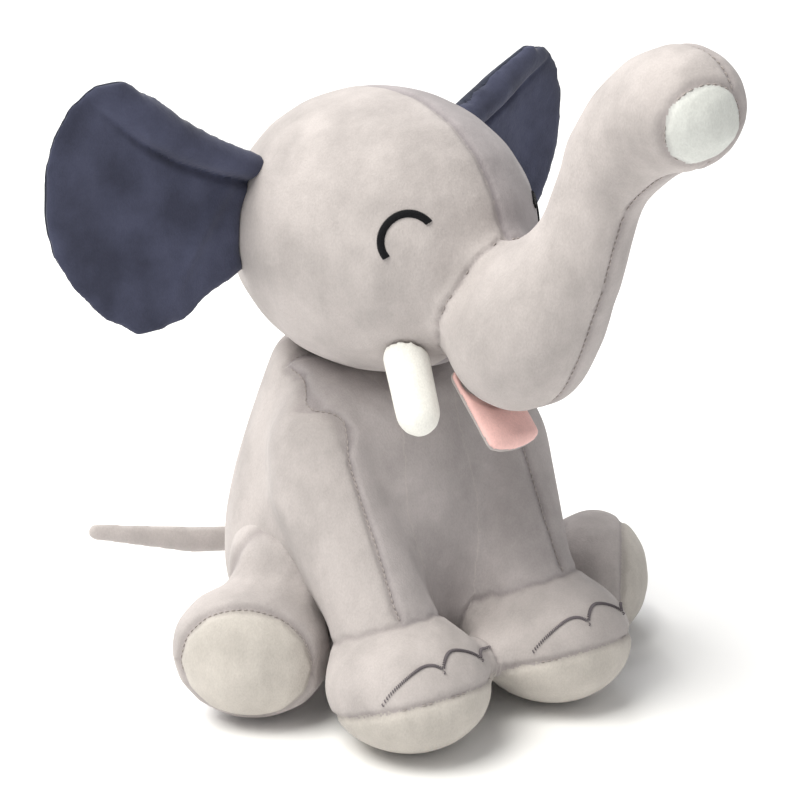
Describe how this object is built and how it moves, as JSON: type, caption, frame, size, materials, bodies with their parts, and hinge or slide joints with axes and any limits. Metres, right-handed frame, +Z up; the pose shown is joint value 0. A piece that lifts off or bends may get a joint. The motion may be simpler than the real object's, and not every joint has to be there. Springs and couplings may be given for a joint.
{
  "type": "plush elephant",
  "caption": "Seated plush elephant with a raised trunk, wide dark ears, white tusks, stitched smiling eyes and pellet-weighted feet.",
  "frame": {"origin": "On the floor the toy sits on, under the middle of its bounding box.", "axes": "+Z up, the toy faces -Y, and its right side is towards -X."},
  "size_m": [0.2922, 0.2906, 0.3008],
  "materials": {
    "grey_plush": "short warm grey pile",
    "pale_plush": "short pale grey pile",
    "ear_plush": "short slate blue pile",
    "white_felt": "smooth white pile",
    "pink_plush": "short pink pile",
    "black_thread": "embroidery thread",
    "grey_thread": "sewing thread",
    "fibre_filling": "loose polyester fibre",
    "pellets": "small round pellets"
  },
  "bodies": {
    "torso": {"belly_panel": "grey_plush", "side_panel_right": "grey_plush", "side_panel_left": "grey_plush", "seat_pellet_bag": "pellets", "body_filling": "fibre_filling"},
    "neck": {"neck_filling": "fibre_filling"},
    "head": {"head_panel_right": "grey_plush", "head_panel_left": "grey_plush", "muzzle_panel_right": "grey_plush", "muzzle_panel_left": "grey_plush", "head_filling": "fibre_filling", "muzzle_filling": "fibre_filling", "eye_right": "black_thread", "eye_left": "black_thread", "tusk_cover_right": "white_felt", "tusk_cover_left": "white_felt", "tusk_filling_right": "fibre_filling", "tusk_filling_left": "fibre_filling"},
    "trunk_middle": {"trunk_middle_panel_right": "grey_plush", "trunk_middle_panel_left": "grey_plush", "trunk_middle_filling": "fibre_filling"},
    "trunk_end": {"trunk_end_panel_right": "grey_plush", "trunk_end_panel_left": "grey_plush", "trunk_tip_disc": "pale_plush", "trunk_end_filling": "fibre_filling"},
    "jaw": {"jaw_cover": "grey_plush", "mouth_lining": "pink_plush"},
    "ear_right": {"ear_front_right": "ear_plush", "ear_back_right": "ear_plush"},
    "ear_left": {"ear_front_left": "ear_plush", "ear_back_left": "ear_plush"},
    "front_leg_right": {"front_leg_inner_panel_right": "grey_plush", "front_leg_outer_panel_right": "grey_plush", "front_leg_filling_right": "fibre_filling", "front_foot_cover_right": "grey_plush", "front_foot_sole_right": "pale_plush", "front_foot_pellets_right": "pellets", "front_toe_stitching_right": "grey_thread"},
    "front_leg_left": {"front_leg_inner_panel_left": "grey_plush", "front_leg_outer_panel_left": "grey_plush", "front_leg_filling_left": "fibre_filling", "front_foot_cover_left": "grey_plush", "front_foot_sole_left": "pale_plush", "front_foot_pellets_left": "pellets", "front_toe_stitching_left": "grey_thread"},
    "hind_leg_right": {"hind_leg_cover_right": "grey_plush", "hind_leg_filling_right": "fibre_filling", "hind_foot_cover_right": "grey_plush", "hind_foot_sole_right": "pale_plush", "hind_foot_pellets_right": "pellets"},
    "hind_leg_left": {"hind_leg_cover_left": "grey_plush", "hind_leg_filling_left": "fibre_filling", "hind_foot_cover_left": "grey_plush", "hind_foot_sole_left": "pale_plush", "hind_foot_pellets_left": "pellets"},
    "tail": {"tail": "grey_plush"}
  },
  "joints": [
    {"name": "head_turn", "type": "hinge", "parent": "torso", "child": "neck", "pos_m": [0.00547, 0.0411, 0.157], "axis": [0, 0, 1], "range_deg": [-15, 15], "stiffness_Nm_per_rad": 3},
    {"name": "head_nod", "type": "hinge", "parent": "neck", "child": "head", "pos_m": [0.00547, 0.0411, 0.157], "axis": [-0.9903, -0.1392, 0], "range_deg": [-7, 7], "stiffness_Nm_per_rad": 4},
    {"name": "trunk_bend", "type": "hinge", "parent": "head", "child": "trunk_middle", "pos_m": [0.01957, -0.06957, 0.20483], "axis": [-0.9872, -0.1387, 0.0785], "range_deg": [-10, 10], "stiffness_Nm_per_rad": 0.8},
    {"name": "trunk_curl", "type": "hinge", "parent": "trunk_middle", "child": "trunk_end", "pos_m": [0.0262, -0.0848, 0.24861], "axis": [-0.9872, -0.1387, 0.0785], "range_deg": [-10, 10], "stiffness_Nm_per_rad": 0.8},
    {"name": "jaw_open", "type": "hinge", "parent": "head", "child": "jaw", "pos_m": [0.0082, -0.02573, 0.15207], "axis": [0.9872, 0.1387, -0.0785], "range_deg": [-6, 14], "stiffness_Nm_per_rad": 0.06},
    {"name": "ear_right_swing", "type": "hinge", "parent": "head", "child": "ear_right", "pos_m": [-0.05032, 0.05088, 0.21397], "axis": [0.0777, 0.0109, 0.9969], "range_deg": [-20, 15], "stiffness_Nm_per_rad": 0.08},
    {"name": "ear_left_swing", "type": "hinge", "parent": "head", "child": "ear_left", "pos_m": [0.05038, 0.06503, 0.20597], "axis": [-0.0777, -0.0109, -0.9969], "range_deg": [-20, 15], "stiffness_Nm_per_rad": 0.08},
    {"name": "front_leg_right_swing", "type": "hinge", "parent": "torso", "child": "front_leg_right", "pos_m": [-0.04153, 0.0151, 0.101], "axis": [-1, 0, 0], "range_deg": [0, 25], "stiffness_Nm_per_rad": 0.4},
    {"name": "front_leg_left_swing", "type": "hinge", "parent": "torso", "child": "front_leg_left", "pos_m": [0.05247, 0.0151, 0.101], "axis": [-1, 0, 0], "range_deg": [0, 25], "stiffness_Nm_per_rad": 0.4},
    {"name": "hind_leg_right_swing", "type": "hinge", "parent": "torso", "child": "hind_leg_right", "pos_m": [-0.03553, 0.0411, 0.036], "axis": [0, 0, -1], "range_deg": [0, 15], "stiffness_Nm_per_rad": 0.4},
    {"name": "hind_leg_left_swing", "type": "hinge", "parent": "torso", "child": "hind_leg_left", "pos_m": [0.04647, 0.0411, 0.036], "axis": [0, 0, 1], "range_deg": [0, 15], "stiffness_Nm_per_rad": 0.4},
    {"name": "tail_swing", "type": "hinge", "parent": "torso", "child": "tail", "pos_m": [-0.00553, 0.1066, 0.036], "axis": [0, 0, -1], "range_deg": [-15, 45], "stiffness_Nm_per_rad": 0.02}
  ],
  "couplings": [
    {"joint": "trunk_curl", "follows": "trunk_bend", "ratio": 1}
  ]
}
